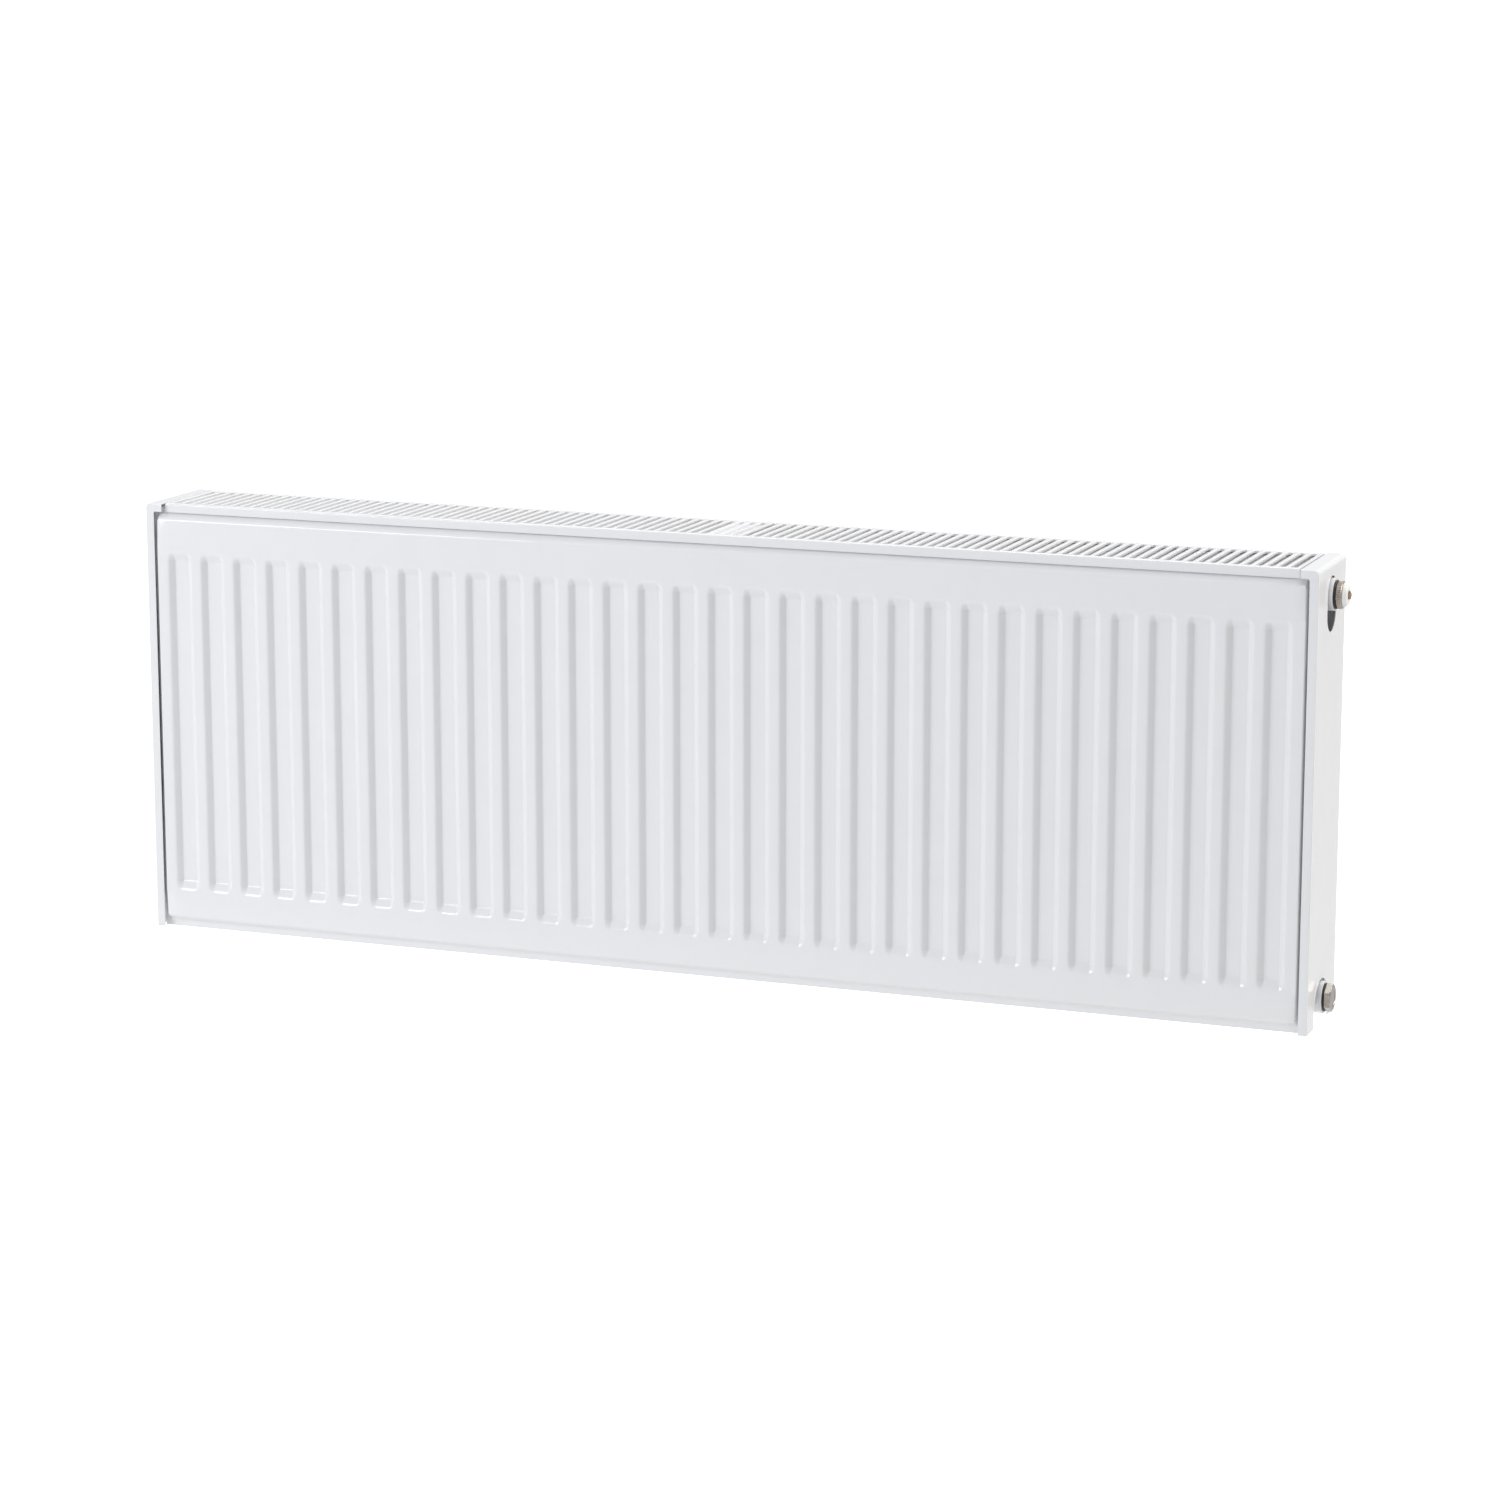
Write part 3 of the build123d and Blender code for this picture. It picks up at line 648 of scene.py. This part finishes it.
def vent_body():
    """The nickel-plated body: a serrated grip, turned faces and its screwed shank."""
    length, radius, bore, socket = 5.0, 12.0, 2.5, 7.05
    floor = length - 3.1
    shank = [(SHANK_TIP, bore), (SHANK_TIP, 8.6), (-13.3, SHANK_R), (-2.0, SHANK_R),
             (0.02, NECK_R)]
    shoulder = [(0.02, 11.1), (0.25, 11.45), (0.55, 11.6)]
    grip = [(x, radius) for x in (0.8, 1.1, length / 2, length - 1.1, length - 0.8)]
    face = [(length - 0.55, 11.6), (length - 0.2, 11.35), (length, 11.0), (length, socket),
            (floor, socket), (floor, bore), (SHANK_TIP, bore)]
    first = len(shank + shoulder)
    verts, faces = lathe(shank + shoulder + grip + face, SEAL_END, UPPER_Z, sides=288,
                         depth=0.55, teeth=48, toothed=range(first, first + len(grip)))
    add_piece("vent_grip", verts, faces, NICKEL_VENT, "radiator",
              ("air_vent_body",), sharp=60.0)


def nozzle():
    """The white swivelling outlet: thin collar, domed face and a bore for the bleed screw."""
    bore, stem, base = 4.0, 7.0, 2.1
    collar = [(base, bore), (base, 6.8), (2.3, stem), (5.1, stem), (5.1, 10.2), (5.25, 10.45),
              (5.6, 10.5), (6.2, 10.5), (6.5, 10.42), (6.72, 10.1), (6.9, 9.7)]
    face_start = 9.15
    dome = [(x, r) for x, r in arc(6.0, 6.2, 3.6, 68.0, 22.0, 8) if x < face_start]
    face = [(9.3, 6.9), (9.4, 6.3), (9.4, 4.5), (9.25, 4.15), (9.0, bore), (base, bore)]
    verts, faces = lathe(collar + dome + face, SEAL_END, UPPER_Z, sides=96)
    add_piece("vent_outlet", verts, faces, PLASTIC, "nozzle",
              ("vent_nozzle",), sharp=50.0)


def hexagon_plug():
    """The chamfered hexagon: its round chamfer meets six flats, then the screwed shank."""
    flats, length, chamfer_run = 11.0, 5.5, 1.7
    slope = math.tan(math.radians(30))
    corner = flats / math.cos(math.radians(30))
    dish = length - 0.35
    sides = 120
    turns = [2 * math.pi * j / sides for j in range(sides)]

    def radius(x, angle):
        around = (math.degrees(angle) + 30) % 60 - 30
        flat = flats / math.cos(math.radians(30 - abs(around)))
        cone = corner - max(0.0, x - (length - chamfer_run * slope)) / slope
        return min(flat, cone)

    shank = [(SHANK_TIP, 8.4), (-13.2, SHANK_R), (-1.9, SHANK_R), (0.0, NECK_R)]
    rings = [(x, [r] * sides) for x, r in shank]
    for x in (0.0, 0.2, 2.0, 3.2, 4.0, 4.4, 4.6, 4.8, 5.0, 5.15, 5.3, 5.42, length):
        inset = 0.15 if x == 0.0 else 0.0
        rings.append((x, [radius(x, angle) - inset for angle in turns]))
    rings += [(x, [r] * sides) for x, r in ((length, 8.8), (length, 8.2), (dish, 7.8), (dish, 3.0))]
    verts = [(SEAL_END + x, MID_Y + r * math.sin(angle), LOWER_Z + r * math.cos(angle))
             for x, ring in rings for r, angle in zip(ring, turns)]
    faces = ring_faces(len(rings), sides)
    faces.append(tuple(range(sides)))
    faces.append(tuple(range(len(verts) - sides, len(verts))))
    add_piece("plug_hexagon", verts, faces, NICKEL_PLUG, "radiator",
              ("blanking_plug",), sharp=24.0)


ring_seal("vent_ring", "air_vent_seal", UPPER_Z)
ring_seal("plug_ring", "blanking_plug_seal", LOWER_Z)
vent_body()
nozzle()
dress("bleed_screw", BRASS, edge=0.35, segments=3)
hexagon_plug()


# ---------------------------------------------------------------- floor, light and camera

def stage_floor():
    mesh = bpy.data.meshes.new("studio_floor")
    reach, level, glow_strength = 60.0, -1.1, 0.75
    corners = ((-reach, -reach), (reach, -reach), (reach, reach), (-reach, reach))
    mesh.from_pydata([(x, y, level) for x, y in corners], [], [(0, 1, 2, 3)])
    floor = bpy.data.objects.new("studio_floor", mesh)
    mat, nodes, links, shader = new_material("floor_pale", (0.80, 0.80, 0.80), 0.0, 0.9)
    shader.inputs["Emission Color"].default_value = (1.0, 1.0, 1.0, 1.0)
    path = nodes.new("ShaderNodeLightPath")
    glow = nodes.new("ShaderNodeMath")
    glow.operation = "MULTIPLY"
    glow.inputs[1].default_value = glow_strength
    links.new(path.outputs["Is Camera Ray"], glow.inputs[0])
    links.new(glow.outputs["Value"], shader.inputs["Emission Strength"])
    mesh.materials.append(mat)
    bpy.context.scene.collection.objects.link(floor)


def soft_light(name, place, aim, size, power, colour=(1.0, 1.0, 1.0)):
    data = bpy.data.lights.new(name, "AREA")
    data.shape = "RECTANGLE"
    data.size, data.size_y = size
    data.energy = power
    data.color = colour
    light = bpy.data.objects.new(name, data)
    light.location = place
    light.rotation_euler = (Vector(aim) - Vector(place)).to_track_quat("-Z", "Y").to_euler()
    bpy.context.scene.collection.objects.link(light)
    light.visible_camera = False


def studio_world(lit, seen):
    """Soft light all round, lit[0] from the front and lit[1] from behind. The camera sees an
    even white of strength seen."""
    fade_from, fade_to = -0.75, 0.15           # Y of the direction
    world = bpy.data.worlds.new("studio")
    world.use_nodes = True
    nodes, links = world.node_tree.nodes, world.node_tree.links
    nodes.clear()
    ambient = nodes.new("ShaderNodeBackground")
    backdrop = nodes.new("ShaderNodeBackground")
    backdrop.inputs["Color"].default_value = (1.0, 1.0, 1.0, 1.0)
    backdrop.inputs["Strength"].default_value = seen
    ambient.inputs["Color"].default_value = (0.985, 0.99, 1.0, 1.0)
    coord = nodes.new("ShaderNodeTexCoord")
    parts = nodes.new("ShaderNodeSeparateXYZ")
    links.new(coord.outputs["Generated"], parts.inputs["Vector"])
    fade = nodes.new("ShaderNodeMapRange")
    fade.inputs["From Min"].default_value = fade_from
    fade.inputs["From Max"].default_value = fade_to
    fade.inputs["To Min"].default_value = lit[0]
    fade.inputs["To Max"].default_value = lit[1]
    links.new(parts.outputs["Y"], fade.inputs["Value"])
    links.new(fade.outputs["Result"], ambient.inputs["Strength"])
    path = nodes.new("ShaderNodeLightPath")
    mix = nodes.new("ShaderNodeMixShader")
    out = nodes.new("ShaderNodeOutputWorld")
    links.new(path.outputs["Is Camera Ray"], mix.inputs["Fac"])
    links.new(ambient.outputs["Background"], mix.inputs[1])
    links.new(backdrop.outputs["Background"], mix.inputs[2])
    links.new(mix.outputs["Shader"], out.inputs["Surface"])
    bpy.context.scene.world = world


stage_floor()
studio_world(lit=(0.64, 0.66), seen=1.05)
soft_light("key", place=(-2.35, -2.65, 1.0), aim=(-0.1, 0.0, 0.0), size=(1.9, 1.3),
           power=51.0, colour=(0.965, 0.98, 1.0))
soft_light("right_side", place=(3.1, 0.7, 1.7), aim=(0.3, 0.0, 0.0), size=(2.2, 2.0),
           power=53.0, colour=(1.0, 0.945, 0.88))
soft_light("overhead", place=(0.0, 1.1, 2.25), aim=(0.0, 0.0, 0.2), size=(2.6, 1.4),
           power=34.0)

# Millimetres, metres and degrees, fitted to the photograph's view
LENS, SENSOR_WIDTH = 101.5, 36.0
CAMERA_PLACE = (1.338, -3.5184, 0.761)
CAMERA_TILT, CAMERA_TURN = 78.38, 20.78
camera_data = bpy.data.cameras.new("camera")
camera_data.lens = LENS
camera_data.sensor_width = SENSOR_WIDTH
camera_data.dof.use_dof = False
camera_data.clip_end = 200.0
camera = bpy.data.objects.new("camera", camera_data)
camera.location = CAMERA_PLACE
camera.rotation_euler = (math.radians(CAMERA_TILT), 0.0, math.radians(CAMERA_TURN))
bpy.context.scene.collection.objects.link(camera)
bpy.context.scene.camera = camera
bpy.context.scene.view_settings.view_transform = "Standard"

bpy.context.view_layer.update()
